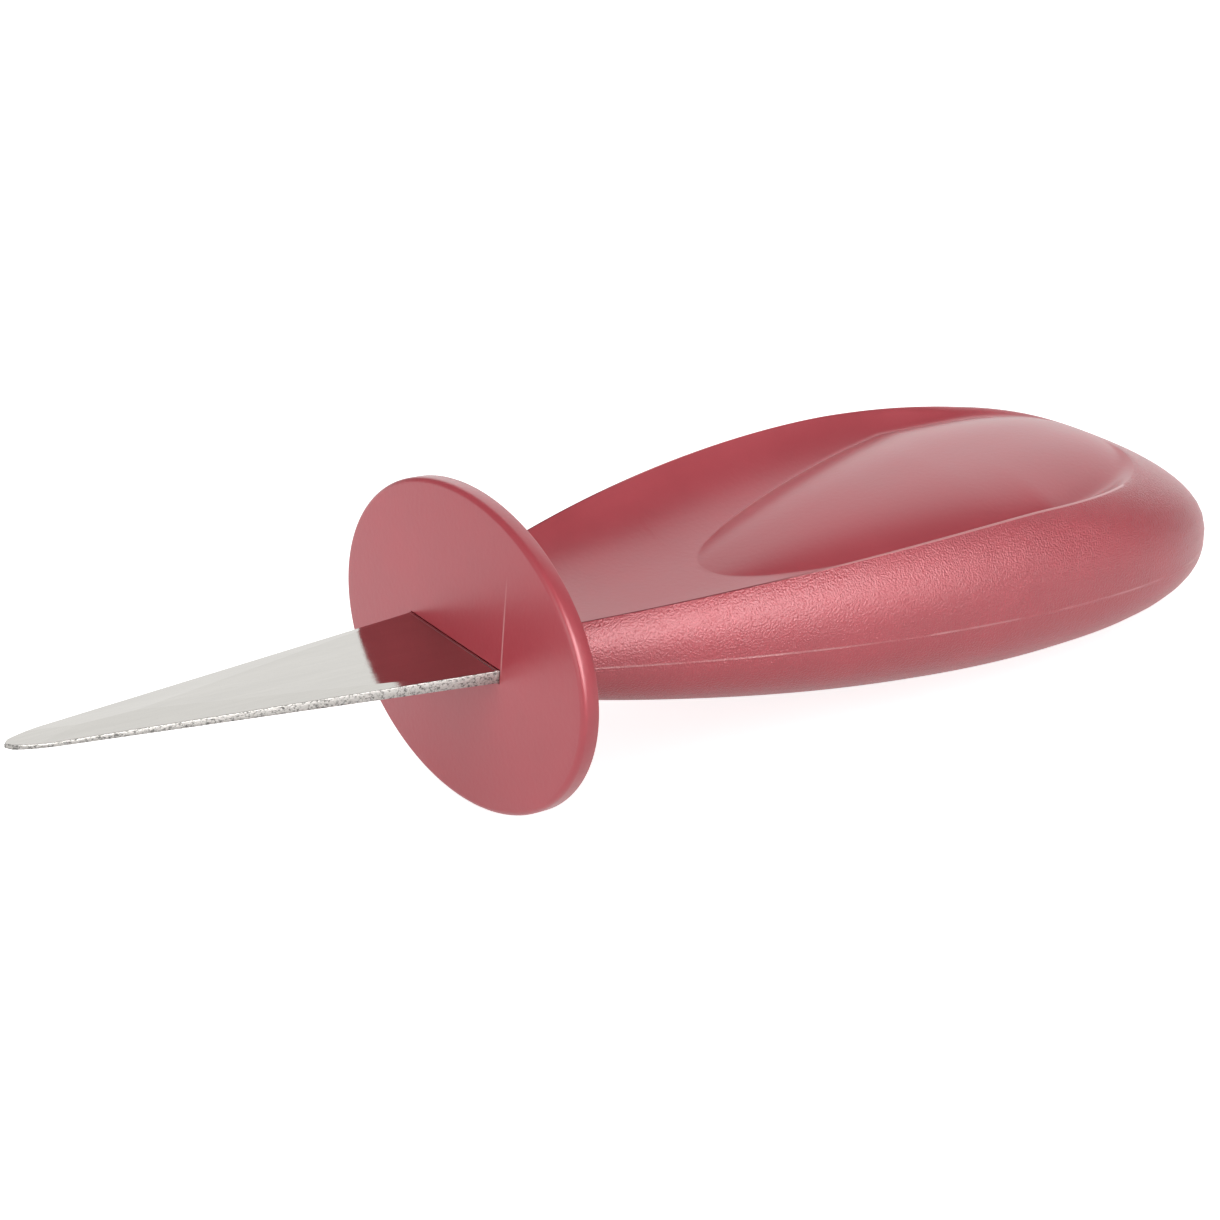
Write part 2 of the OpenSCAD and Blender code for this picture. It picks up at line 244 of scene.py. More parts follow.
class HandleForm:
    """The handle's curves for arrays of places along it."""

    def __init__(self, sizes):
        self.s = s = sizes
        closing = (1 - (s.rim / s.crown) ** s.crown_power) ** (1 / s.crown_power)
        self.pad_end = s.highest + (s.length - s.highest) * closing

    def half_width(self, x):
        s = self.s
        return swell(x, s.nose_width / 2, s.width / 2, s.widest, s.length,
                     s.nose_power, s.butt_power)

    def belly(self, x):
        s = self.s
        return swell(x, s.nose_belly, s.belly, s.deepest, s.length, s.nose_power, s.belly_power)

    def crown(self, x):
        s = self.s
        return swell(x, s.nose_crown, s.crown, s.highest, s.length, s.nose_power, s.crown_power)

    def arch(self, share):
        """Height of the cross-section's curve at a share of its half width."""
        p = self.s.section_power
        return np.clip(1 - np.abs(share) ** p, 0, 1) ** (1 / p)

    def rim_height(self, x):
        s = self.s
        rise = 1 - np.clip(1 - x / s.rim_level, 0, 1) ** s.rim_power
        return np.minimum(0.985 * self.crown(x), s.nose_rim + (s.rim - s.nose_rim) * rise)

    def rim_width(self, x):
        return self.half_width(x) * self.arch(self.rim_height(x) / self.crown(x))

    def along(self, x):
        """Share of the pad's length that lies in front of x."""
        return np.clip((x - self.s.pad_start) / (self.pad_end - self.s.pad_start), 0, 1)

    def fading(self, x):
        """How far the scoop has faded into the plain crown."""
        return self.along(x) ** self.s.fade_power

    def unscooped_height(self, x, y):
        return self.crown(x) * self.arch(y / self.half_width(x))

    def scoop_height(self, x, y):
        s = self.s
        deepening = np.sin(pi / 2 * np.clip(x / s.pad_start, 0, 1))
        deep = s.nose_scoop + (s.scoop - s.nose_scoop) * deepening
        level = self.rim_height(x) - deep * (1 - (np.abs(y) / self.rim_width(x)) ** s.scoop_power)
        return level + (self.unscooped_height(x, y) - level) * self.fading(x)

    def pad_width(self, x):
        outline = self.along(x) ** (1 / self.s.outline_power)
        return self.rim_width(x) * np.minimum(self.s.pad_share, outline)

    def top_height(self, x, y):
        s, u = self.s, self.along(x)
        if u <= 0:
            return self.scoop_height(x, y)
        edge, floor = self.pad_width(x), self.scoop_height(x, 0.0)
        crease = self.scoop_height(x, edge)
        rim = self.rim_height(x)
        filled = s.pad_crown + (1 - s.pad_crown) * self.fading(x)
        full = rim + filled * (self.crown(x) - rim)
        top = floor + (full - floor) * (1 - (1 - u) ** s.rise_power)
        low = self.arch(edge / self.half_width(x))
        share = np.clip((self.arch(y / self.half_width(x)) - low) / (1 - low), 0, 1)
        bulge = s.shoulder_power + (1 - s.shoulder_power) * u
        pad = crease + (top - crease) * share ** bulge
        return np.where(np.abs(y) < edge, pad, self.scoop_height(x, y))


def resting_place():
    """How the straight knife is turned and moved to lie on the guard's rim and the belly."""
    knife = settings()
    form, guard = HandleForm(knife.handle), knife.guard
    x = np.linspace(guard.thickness, knife.handle.length, 2000)
    belly = form.belly(x)

    def lowest(tilt):
        reach = guard.height / 2 + guard.drop
        rim = (guard.back_round - guard.thickness) * sin(tilt) - reach * cos(tilt)
        return (-x * sin(tilt) - belly * cos(tilt)).min(), rim

    low, high = 0.0, radians(20)
    for _ in range(40):
        tilt = (low + high) / 2
        under, rim = lowest(tilt)
        low, high = (tilt, high) if under > rim else (low, tilt)
    middle = (knife.handle.length - knife.blade.length) / 2 * cos(tilt)
    moved = Matrix.Translation((-middle, 0, -lowest(tilt)[0]))
    return moved @ Matrix.Rotation(tilt, 4, "Y")


# ---- modelling ----

def deselect():
    """Leaves edit mode and selects nothing."""
    if bpy.context.object and bpy.context.object.mode == "EDIT":
        bpy.ops.object.mode_set(mode="OBJECT")
    bpy.ops.object.select_all(action="DESELECT")


def edit(piece):
    """Opens one piece alone in edit mode."""
    deselect()
    piece.select_set(True)
    bpy.context.view_layer.objects.active = piece
    bpy.ops.object.mode_set(mode="EDIT")
    bpy.ops.mesh.select_mode(type="VERT")


def bisect(at, normal):
    """Cuts the whole mesh by a plane and closes it, keeping the side away from normal."""
    bpy.ops.mesh.select_all(action="SELECT")
    bpy.ops.mesh.bisect(plane_co=at, plane_no=normal, use_fill=True, clear_outer=True)


def apply(piece, kind, **values):
    """Adds a modifier with these values and applies it."""
    deselect()
    piece.select_set(True)
    bpy.context.view_layer.objects.active = piece
    modifier = piece.modifiers.new(kind.title(), kind)
    for name, value in values.items():
        setattr(modifier, name, value)
    bpy.ops.object.modifier_apply(modifier=modifier.name)


def lay_down(piece):
    """Turns a straight piece as the knife lies, with its place in its mesh."""
    deselect()
    piece.select_set(True)
    bpy.context.view_layer.objects.active = piece
    piece.matrix_world = resting_place()
    bpy.ops.object.transform_apply(location=True, rotation=True, scale=True)


def hand_over(piece, slot, *nodes):
    """The finished piece rides on the knife in place of its CAD nodes."""
    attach(piece, "root")
    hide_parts(*nodes)


def smooth(piece, angle):
    """Shades the piece smooth, apart from edges sharper than this angle."""
    deselect()
    piece.select_set(True)
    bpy.context.view_layer.objects.active = piece
    bpy.ops.object.shade_smooth_by_angle(angle=angle)


def coordinates(mesh):
    flat = np.empty(len(mesh.vertices) * 3)
    mesh.vertices.foreach_get("co", flat)
    return flat.reshape(-1, 3)


def set_coordinates(mesh, points):
    mesh.vertices.foreach_set("co", np.asarray(points, float).ravel())
    mesh.update()


# ---- finishes ----

def new_material(name):
    material = bpy.data.materials.new(name)
    material.use_nodes = True
    material.node_tree.nodes.clear()
    return material


class Shader:
    """Adds and joins the nodes of a tree."""

    def __init__(self, tree):
        self.tree = tree

    def add(self, kind, inputs=None, **values):
        node = self.tree.nodes.new("ShaderNode" + kind)
        for name, value in values.items():
            setattr(node, name, value)
        for name, value in (inputs or {}).items():
            if isinstance(value, bpy.types.NodeSocket):
                self.tree.links.new(value, node.inputs[name])
            else:
                node.inputs[name].default_value = value
        return node

    def math(self, operation, a, b=0.0, clamp=False):
        return self.add("Math", {0: a, 1: b}, operation=operation, use_clamp=clamp).outputs[0]

    def ramp(self, value, low, high, start=0.0, end=1.0):
        return self.add("MapRange", {"Value": value, "From Min": low, "From Max": high,
                                     "To Min": start, "To Max": end}, clamp=True).outputs[0]

    def mix(self, share, a, b):
        node = self.add("Mix", data_type="RGBA")
        for socket, value in ((0, share), (6, a), (7, b)):
            if isinstance(value, bpy.types.NodeSocket):
                self.tree.links.new(value, node.inputs[socket])
            else:
                node.inputs[socket].default_value = value
        return node.outputs[2]

    def noise(self, place, scale, detail=2.0, roughness=0.5):
        return self.add("TexNoise", {"Vector": place, "Scale": scale, "Detail": detail,
                                     "Roughness": roughness}).outputs[0]

    def knife_place(self, stretch=(1.0, 1.0, 1.0)):
        """Object coordinates in the knife's own straight frame, stretched along its axes."""
        back = resting_place().inverted()
        turned = self.add("Mapping", {
            "Vector": self.add("TexCoord").outputs["Object"],
            "Location": back.to_translation(), "Rotation": back.to_euler()})
        return self.add("Mapping", {"Vector": turned.outputs[0], "Scale": stretch}).outputs[0]

    def group(self, group, inputs):
        node = self.add("Group", node_tree=group)
        for name, value in inputs.items():
            if isinstance(value, bpy.types.NodeSocket):
                self.tree.links.new(value, node.inputs[name])
            else:
                node.inputs[name].default_value = value
        return node

    def surface(self, inputs):
        principled = self.add("BsdfPrincipled", inputs)
        output = self.add("OutputMaterial")
        self.tree.links.new(principled.outputs[0], output.inputs["Surface"])
        return principled


def effect_group(name, inputs, outputs):
    """A new node group with these named sockets: (shader, its inputs node, its output node)."""
    tree = bpy.data.node_groups.new(name, "ShaderNodeTree")
    for label, kind in inputs:
        tree.interface.new_socket(name=label, in_out="INPUT", socket_type="NodeSocket" + kind)
    for label in outputs:
        tree.interface.new_socket(name=label, in_out="OUTPUT", socket_type="NodeSocketFloat")
    return Shader(tree), tree.nodes.new("NodeGroupInput"), tree.nodes.new("NodeGroupOutput")


def moulded_grain():
    """The skin of moulded plastic: its grain's height, and a mottle in its tone and gloss."""
    if "Moulded grain" in bpy.data.node_groups:
        return bpy.data.node_groups["Moulded grain"]
    s, given, made = effect_group("Moulded grain", [("Place", "Vector"), ("Grain", "Float"),
                                                    ("Patch", "Float")], ["Height", "Mottle"])
    fine = s.noise(given.outputs["Place"], given.outputs["Grain"], 3.0, 0.6)
    pebble = s.add("TexVoronoi", {"Vector": given.outputs["Place"],
                                  "Scale": given.outputs["Grain"]},
                   feature="SMOOTH_F1").outputs["Distance"]
    height = s.math("ADD", s.math("MULTIPLY", fine, 0.6), s.math("MULTIPLY", pebble, 0.4))
    mottle = s.noise(given.outputs["Place"], given.outputs["Patch"], 4.0, 0.65)
    s.tree.links.new(height, made.inputs["Height"])
    s.tree.links.new(mottle, made.inputs["Mottle"])
    return s.tree


def grinding_lines():
    """Fine lines along ground steel: their height, and how strongly they show in its gloss."""
    if "Grinding lines" in bpy.data.node_groups:
        return bpy.data.node_groups["Grinding lines"]
    s, given, made = effect_group("Grinding lines", [("Place", "Vector"), ("Lines", "Float")],
                                  ["Height", "Streak"])
    lines = s.noise(given.outputs["Place"], given.outputs["Lines"], 4.0, 0.7)
    broad = s.noise(given.outputs["Place"], s.math("MULTIPLY", given.outputs["Lines"], 0.15), 2.0)
    s.tree.links.new(lines, made.inputs["Height"])
    s.tree.links.new(s.math("MULTIPLY", s.math("ADD", lines, broad), 0.5), made.inputs["Streak"])
    return s.tree


def rgba(value):
    return (*value, 1.0)


def plastic(name, grain, gloss, line=None):
    """Raspberry plastic with its grain and two roughnesses.

    line may be "flash" along the parting line, "knit" for a painted highlight up the guard from its
    slot, the handle's "rim" for painted shade near the nose turning into a painted highlight
    further back, or "crease" for a painted highlight along the pad's edge."""
    colours = settings().finishes
    material = new_material(name)
    s = Shader(material.node_tree)
    place = s.knife_place()
    lines, depth = grain
    skin = s.group(moulded_grain(), {"Place": place, "Grain": lines, "Patch": 60.0})
    tone = s.ramp(skin.outputs["Mottle"], 0.35, 0.65)
    base = s.mix(tone, rgba(colours.raspberry_deep), rgba(colours.raspberry))
    axes = s.add("SeparateXYZ", {0: place}).outputs
    if line == "flash":
        mark = s.math("MULTIPLY", s.ramp(s.math("ABSOLUTE", axes["Z"]), 0.00016, 0.00005),
                      s.ramp(s.noise(place, 90.0), 0.42, 0.62, 0.1, 0.9))
        base = s.mix(mark, base, rgba(colours.flash))
    if line == "slot_highlight":
        # painted highlight: a thin pale line up the guard's face from the near end of the slot,
        # fading out between 6 and 12 mm up
        edge = settings().blade.width / 2 + settings().guard.slot_gap
        aside = s.math("ABSOLUTE", s.math("ADD", axes["Y"], edge + 0.00015))
        upward = s.math("MULTIPLY", s.ramp(axes["Z"], 0.012, 0.006),
                        s.ramp(axes["Z"], 0.0, 0.001))
        mark = s.math("MULTIPLY", s.ramp(aside, 0.00016, 0.00006), upward)
        base = s.mix(mark, base, rgba(colours.flash))
    if line == "crease":
        # painted highlight along the pad's crease, from about 42 to 82 mm behind the rim plane
        mark = s.math("MULTIPLY", s.ramp(axes["X"], 0.042, 0.052),
                      s.ramp(axes["X"], 0.082, 0.064))
        base = s.mix(mark, base, rgba(colours.flash))
    if line == "rim":
        # painted shade on the rim's faces near the nose, turning into a painted highlight between
        # 30 and 42 mm behind the rim plane
        shaded = rgba([c * 0.55 for c in colours.raspberry_deep])
        base = s.mix(s.ramp(axes["X"], 0.030, 0.042), shaded, rgba(colours.flash))
    rough = s.ramp(skin.outputs["Mottle"], 0.3, 0.7, gloss[0], gloss[1])
    bump = s.add("Bump", {"Height": skin.outputs["Height"], "Distance": depth, "Strength": 1.0})
    s.surface({"Base Color": base, "Roughness": rough, "Normal": bump.outputs[0], "IOR": 1.52,
               "Coat Weight": 0.95, "Coat Roughness": 0.30, "Coat Normal": bump.outputs[0]})
    return material


def ground_steel():
    material = new_material("ground steel")
    s = Shader(material.node_tree)
    colours = settings().finishes
    lines = s.group(grinding_lines(), {"Place": s.knife_place((0.06, 1.0, 1.0)), "Lines": 3000.0})
    streak = lines.outputs["Streak"]
    base = s.mix(s.ramp(streak, 0.35, 0.65), rgba([c * 0.93 for c in colours.steel]),
                 rgba(colours.steel))
    bump = s.add("Bump", {"Height": lines.outputs["Height"], "Distance": 0.00001, "Strength": 0.6})
    s.surface({"Base Color": base, "Metallic": 1.0,
               "Roughness": s.ramp(streak, 0.35, 0.65, 0.04, 0.09), "Normal": bump.outputs[0]})
    return material


def cut_steel():
    material = new_material("cut steel")
    s = Shader(material.node_tree)
    colours = settings().finishes
    lines = s.group(grinding_lines(), {"Place": s.knife_place((0.8, 1.0, 1.0)), "Lines": 3400.0})
    height = lines.outputs["Height"]
    base = s.mix(s.ramp(height, 0.38, 0.52), rgba([c * 0.25 for c in colours.cut_steel]),
                 rgba(colours.cut_steel))
    bump = s.add("Bump", {"Height": height, "Distance": 0.00006, "Strength": 0.8})
    s.surface({"Base Color": base, "Metallic": 1.0, "Roughness": s.ramp(height, 0.4, 0.6, 0.5, 0.3),
               "Normal": bump.outputs[0]})
    return material


def pin_steel():
    material = new_material("pin steel")
    s = Shader(material.node_tree)
    lines = s.group(grinding_lines(), {"Place": s.knife_place(), "Lines": 1200.0})
    bump = s.add("Bump", {"Height": lines.outputs["Height"], "Distance": 0.00003})
    s.surface({"Base Color": rgba(settings().finishes.pin), "Metallic": 1.0,
               "Roughness": s.ramp(lines.outputs["Streak"], 0.3, 0.7, 0.3, 0.45),
               "Normal": bump.outputs[0]})
    return material


# ---- pieces ----

def blade_outline(s, steps):
    """The blade and its tang from above, round from the tang's end on +Y."""
    end = s.tang_length - s.tang_width / 2
    turn = np.linspace(pi / 2, 0, steps)
    tang = np.c_[end + s.tang_width / 2 * np.cos(turn), s.tang_width / 2 * np.sin(turn)]
    a = np.linspace(0, pi / 2, steps)
    x = s.length - s.point_length * np.cos(a)
    half = (s.width + (s.point_width - s.width) * x / s.length) / 2 * np.cos(
        np.arcsin(np.clip((x - s.length + s.point_length) / s.point_length, 0, 1)))
    side = np.r_[[[0, s.tang_width / 2], [0, s.width / 2]], np.c_[-x, half]]
    upper = np.r_[tang[::-1], side]
    return np.r_[upper, (upper * [1, -1])[-2:0:-1]]


class KNIFE_OT_blade(Operator):
    """Grind the blade from flat stock, with its tang"""
    bl_idname = "knife.blade"
    bl_label = "Blade"

    def execute(self, context):
        s = settings().blade
        outline = blade_outline(s, CURVE_STEPS)
        deselect()
        bpy.ops.mesh.primitive_circle_add(vertices=len(outline), fill_type="NGON")
        piece = context.object
        piece.name = "ground_blade"
        stock = s.thickness / 2 + s.grind
        set_coordinates(piece.data, np.c_[outline, np.full(len(outline), -stock)])
        edit(piece)
        bpy.ops.mesh.select_all(action="SELECT")
        bpy.ops.mesh.extrude_region_move(TRANSFORM_OT_translate={"value": (0, 0, 2 * stock)})
        bpy.ops.mesh.select_all(action="SELECT")
        bpy.ops.mesh.normals_make_consistent(inside=False)
        # the ground flats run out in a short ramp just in front of the guard
        for start in (s.grind_start, s.grind_start + 2 * s.grind):
            bpy.ops.mesh.select_all(action="SELECT")
            bpy.ops.mesh.bisect(plane_co=(-start, 0, 0), plane_no=(1, 0, 0))
        bpy.ops.object.mode_set(mode="OBJECT")
        points = coordinates(piece.data)
        ground = points[:, 0] < -s.grind_start - s.grind
        points[ground, 2] = np.sign(points[ground, 2]) * s.thickness / 2
        set_coordinates(piece.data, points)
        edit(piece)
        ridge, half = s.length - s.ridge_start, s.thickness / 2
        half_width = (s.width + (s.point_width - s.width) * s.bevel_start / s.length) / 2
        run = atan2(half_width, s.ridge_start - s.bevel_start)
        for up in (1, -1):
            for side in (1, -1):
                across = Vector((-sin(run), side * cos(run), 0))
                normal = across * sin(s.bevel_slope) + Vector((0, 0, up * cos(s.bevel_slope)))
                bisect((-s.ridge_start, 0, up * half), normal)
            tip = half - tan(s.bevel_slope) * (s.length - s.tip_length - s.ridge_start) * sin(run)
            bisect((s.tip_length - s.length, 0, up * tip),
                   (-sin(s.tip_slope), 0, up * cos(s.tip_slope)))
        bpy.ops.object.mode_set(mode="OBJECT")
        piece.data.materials.append(ground_steel())
        piece.data.materials.append(cut_steel())
        for face in piece.data.polygons:
            face.material_index = int(abs(face.normal.z) < 0.5)
        apply(piece, "BEVEL", width=s.edge_round, segments=2, limit_method="ANGLE",
              angle_limit=radians(40), use_clamp_overlap=True)
        # ground faces stay plane, so that they mirror like plane glass
        ground = {key for face in piece.data.polygons if abs(face.normal.z) > 0.99
                  for key in face.edge_keys}
        for edge in piece.data.edges:
            edge.use_edge_sharp = edge.key in ground
        set_coordinates(piece.data, coordinates(piece.data) - [0, 0, s.drop])
        lay_down(piece)
        smooth(piece, radians(30))
        hand_over(piece, "blade_steel", "blade")
        return {"FINISHED"}


def tang_room(gap):
    """Two boxes that leave room for the blade's shoulders and its tang."""
    s = settings().blade
    height = s.thickness + 2 * s.grind + 2 * gap
    rooms = []
    for low, high, width in ((-0.1, 0.0, s.width), (-0.1, s.tang_length + 0.0003, s.tang_width)):
        deselect()
        bpy.ops.mesh.primitive_cube_add(size=1, location=((low + high) / 2, 0, -s.drop))
        room = bpy.context.object
        room.scale = (high - low, width + 2 * gap, height)
        bpy.ops.object.transform_apply(location=True, rotation=True, scale=True)
        rooms.append(room)
    return rooms


def cut_tang_room(piece, gap):
    """Cuts the room for blade and tang out of a piece."""
    for room in tang_room(gap):
        apply(piece, "BOOLEAN", object=room, operation="DIFFERENCE", solver="EXACT")
        bpy.data.objects.remove(room, do_unlink=True)


class KNIFE_OT_guard(Operator):
    """Turn up the oval guard ring by ring and cut its slot"""
    bl_idname = "knife.guard"
    bl_label = "Guard"

    def execute(self, context):
        s = settings().guard
        half_w, half_h = s.width / 2, s.height / 2
        # each ring's distance behind the rim plane and inset from the outline, from the back
        rings = [(s.thickness, s.back_round),
                 (s.thickness - 0.3 * s.back_round, 0.3 * s.back_round),
                 (s.thickness - s.back_round, 0.0)]
        rings += [(s.face_round * (1 - sin(a)), s.face_round * (1 - cos(a)))
                  for a in np.linspace(0, pi / 2, 11)]
        deselect()
        bpy.ops.mesh.primitive_circle_add(vertices=GUARD_POINTS, radius=1, fill_type="NGON",
                                          rotation=(0, pi / 2, 0))
        piece = context.object
        piece.name = "moulded_guard"
        first = rings[0]
        piece.scale = (half_h - first[1], half_w - first[1], 1)
        piece.location = (first[0], 0, -s.drop)
        bpy.ops.object.transform_apply(location=True, rotation=True, scale=True)
        edit(piece)
        bpy.ops.mesh.select_all(action="SELECT")
        wide, high, at = half_w - first[1], half_h - first[1], first[0]
        face_w, face_h = half_w - s.face_round, half_h - s.face_round
        steps = [(x, half_w - inset, half_h - inset) for x, inset in rings[1:]]
        steps += [(-s.dome * (1 - share ** 2), face_w * share, face_h * share)
                  for share in np.linspace(1, 0.05, 20)[1:]]
        for x, w, h in steps:
            bpy.ops.mesh.extrude_region_move(TRANSFORM_OT_translate={"value": (x - at, 0, 0)})
            bpy.ops.transform.resize(value=(1, w / wide, h / high), center_override=(x, 0, -s.drop))
            wide, high, at = w, h, x
        bpy.ops.mesh.select_all(action="SELECT")
        bpy.ops.mesh.normals_make_consistent(inside=False)
        bpy.ops.object.mode_set(mode="OBJECT")
        cut_tang_room(piece, s.slot_gap)
        piece.data.materials.clear()
        # the guard's plastic carries a painted highlight running up from the near end of its slot
        piece.data.materials.append(plastic("guard plastic", SMOOTH_GRAIN, (0.42, 0.52), "slot_highlight"))
        lay_down(piece)
        smooth(piece, radians(35))
        hand_over(piece, "raspberry_plastic", "guard")
        return {"FINISHED"}


def lofted(name, rows, end):
    """A closed skin through rows of points, to a point at its end and a flat face at its start."""
    count, around = rows.shape[:2]
    deselect()
    bpy.ops.mesh.primitive_grid_add(x_subdivisions=count, y_subdivisions=around, size=1)
    piece = bpy.context.object
    piece.name = name
    place = coordinates(piece.data)
    i = np.rint((place[:, 0] + 0.5) * count).astype(int)
    j = np.rint((place[:, 1] + 0.5) * around).astype(int) % around
    closed = np.concatenate([rows, np.broadcast_to(end, (1, around, 3))])
    set_coordinates(piece.data, closed[i, j])
    edit(piece)
    bpy.ops.mesh.select_all(action="SELECT")
    bpy.ops.mesh.remove_doubles(threshold=1e-8)
    bpy.ops.mesh.select_all(action="DESELECT")
    bpy.ops.mesh.select_non_manifold()
    bpy.ops.mesh.edge_face_add()
    bpy.ops.mesh.select_all(action="SELECT")
    bpy.ops.mesh.normals_make_consistent(inside=False)
    bpy.ops.object.mode_set(mode="OBJECT")
    return piece


def stations(form, start):
    """Places along the handle, close together at the front of the pad and at the butt."""
    s = form.s
    front = np.linspace(start, s.pad_start, 40, endpoint=False)
    q = np.linspace(0, 1, 150, endpoint=False)
    bunched = q - 0.8 * np.sin(2 * pi * q) / (2 * pi)
    return np.r_[front, s.pad_start + (s.length - s.pad_start) * bunched]


def softened(points, spread, step):
    """A half section evenly resampled and softened, as (distance along it, points)."""
    along = np.r_[0, np.cumsum(np.hypot(*np.diff(points, axis=0).T))]
    count = max(8, int(along[-1] / step))
    even = np.linspace(0, along[-1], count + 1)
    line = np.c_[np.interp(even, along, points[:, 0]), np.interp(even, along, points[:, 1])]
    reach = min(count, int(4 * spread / step) + 1)
    before = 2 * line[0] - line[reach:0:-1]
    after = line[-2:-2 - reach:-1] * [-1, 1]
    weights = np.exp(-0.5 * (np.arange(-reach, reach + 1) * step / spread) ** 2)
    padded = np.r_[before, line, after]
    soft = np.c_[[np.convolve(padded[:, k], weights / weights.sum(), "valid") for k in (0, 1)]].T
    return even, soft


def upper_half(form, x):
    """Half a section of the upper shell, from the parting plane at +Y to the middle."""
    s = form.s
    rim_z, rim_y = form.rim_height(x), form.rim_width(x)
    strip = max(form.pad_width(x), 0 if form.along(x) > 0 else 0.12 * rim_y)
    z = rim_z * np.linspace(0, 1, 160)
    flank = np.c_[form.half_width(x) * form.arch(z / form.crown(x)), z]
    y = np.linspace(rim_y, strip, 200)[1:]
    wall = np.c_[y, form.scoop_height(x, y)]
    y = strip * (1 - np.linspace(0, 1, 240)[1:] ** 1.5)
    pad = np.c_[y, form.top_height(x, y)]
    half = np.r_[flank, wall, pad]
    lengths = np.r_[0, np.cumsum(np.hypot(*np.diff(half, axis=0).T))]
    rim_at, crease_at = lengths[len(flank) - 1], lengths[len(flank) + len(wall) - 1]
    fading = form.fading(x)
    spread = min(s.edge_round * (1 + 10 * fading), 0.03 * lengths[-1])
    even, soft = softened(half, spread, spread / 4)
    bead = s.bead * (1 - fading) * np.exp(-0.5 * ((even - rim_at) / (0.6 * s.edge_round)) ** 2)
    run = np.gradient(soft, axis=0)
    out = np.c_[run[:, 1], -run[:, 0]] / np.hypot(run[:, 0], run[:, 1])[:, None]
    soft = soft + bead[:, None] * out
    stops = np.r_[
        rim_at * np.sin(pi / 2 * np.linspace(0, 1, RIM_STOP + 1)),
        rim_at + (crease_at - rim_at) * (1 - np.cos(
            pi * np.linspace(0, 1, CREASE_STOP - RIM_STOP + 1)[1:])) / 2,
        crease_at + (lengths[-1] - crease_at) * (1 - np.cos(
            pi / 2 * np.linspace(0, 1, MIDDLE_STOP - CREASE_STOP + 1)[1:]))]
    return np.c_[np.interp(stops, even, soft[:, 0]), np.interp(stops, even, soft[:, 1])]


def lower_half(form, x):
    """Half a section of the lower shell, with the fine ridge of flash along the parting line."""
    s = form.s
    a = np.linspace(0, pi / 2, 400) ** 1.6 / (pi / 2) ** 0.6
    y = form.half_width(x) * np.clip(np.cos(a), 0, 1) ** (2 / s.section_power)
    z = -form.belly(x) * np.sin(a) ** (2 / s.section_power)
    along = np.r_[0, np.cumsum(np.hypot(np.diff(y), np.diff(z)))]
    near = np.linspace(0, min(0.0006, 0.2 * along[-1]), 13)
    onward = 1 - np.cos(pi / 2 * np.linspace(0, 1, 19)[1:])
    stops = np.r_[near, near[-1] + (along[-1] - near[-1]) * onward]
    y, z = np.interp(stops, along, y), np.interp(stops, along, z)
    amount = 0.55 + 0.3 * np.sin(x / 0.0037) + 0.25 * np.sin(x / 0.0113 + 1.0)
    ridge = s.flash * np.clip(amount, 0.1, 1) * np.exp(-((z + 0.00012) / 0.00008) ** 2)
    return np.c_[y + ridge, z]


def whole(half, x):
    """Both halves of a section and the flat between them, as points in the knife's frame."""
    left = half[::-1] * [-1, 1]
    across = np.linspace(-0.5, 0.5, 3)[:, None] * [abs(half[0, 0]), 0]
    loop = np.r_[half, left[1:], across]
    return np.c_[np.full(len(loop), x), loop]


def shell(name, half_section):
    """A shell of the handle, and the rows of points that it is lofted through."""
    knife = settings()
    form = HandleForm(knife.handle)
    rows = np.array([whole(half_section(form, x), x)
                     for x in stations(form, knife.guard.thickness)])
    return lofted(name, rows, (knife.handle.length, 0, 0)), rows


def faces_along(mesh, line):
    """The faces that have a side on a line of points."""
    line = {tuple(point) for point in np.float32(line)}
    on = {vertex.index for vertex in mesh.vertices if tuple(vertex.co) in line}
    return [face for face in mesh.polygons if sum(corner in on for corner in face.vertices) == 2]


class KNIFE_OT_handle_upper(Operator):
    """Loft the upper shell with its scoop and pad"""
    bl_idname = "knife.handle_upper"
    bl_label = "Upper handle"

    def execute(self, context):
        piece, rows = shell("handle_top", upper_half)
        # the rim and crease plastics carry painted shade and painted highlights
        for material in (plastic("flank plastic", FLANK_GRAIN, (0.36, 0.46), "flash"),
                         plastic("scoop plastic", SMOOTH_GRAIN, (0.40, 0.50)),
                         plastic("rim shade and highlight plastic", SMOOTH_GRAIN, (0.30, 0.40), "rim"),
                         plastic("crease highlight plastic", SMOOTH_GRAIN, (0.30, 0.40), "crease")):
            piece.data.materials.append(material)
        form = HandleForm(settings().handle)
        for face in piece.data.polygons:
            x, y, z = face.center
            scooped = z > 0.0002 and abs(y) < form.rim_width(x) and face.normal.x > -0.9
            face.material_index = SCOOP if scooped else FLANK
        # faces along the rim, where the scoop has not yet faded, take painted shade near the nose
        # and a painted highlight further back
        last = 2 * MIDDLE_STOP
        for stop in (RIM_STOP - 1, RIM_STOP, last - RIM_STOP, last - RIM_STOP + 1):
            for face in faces_along(piece.data, rows[:, stop]):
                if form.fading(face.center.x) < 0.25:
                    face.material_index = RIM_SHADE_AND_HIGHLIGHT
        # faces along the pad's crease take a painted highlight
        for stop in (CREASE_STOP, CREASE_STOP + 1):
            for face in faces_along(piece.data, rows[:, stop]):
                if face.center.y < form.pad_width(face.center.x):
                    face.material_index = CREASE_HIGHLIGHT
        lay_down(piece)
        smooth(piece, radians(40))
        hand_over(piece, "raspberry_plastic", "handle_upper")
        return {"FINISHED"}


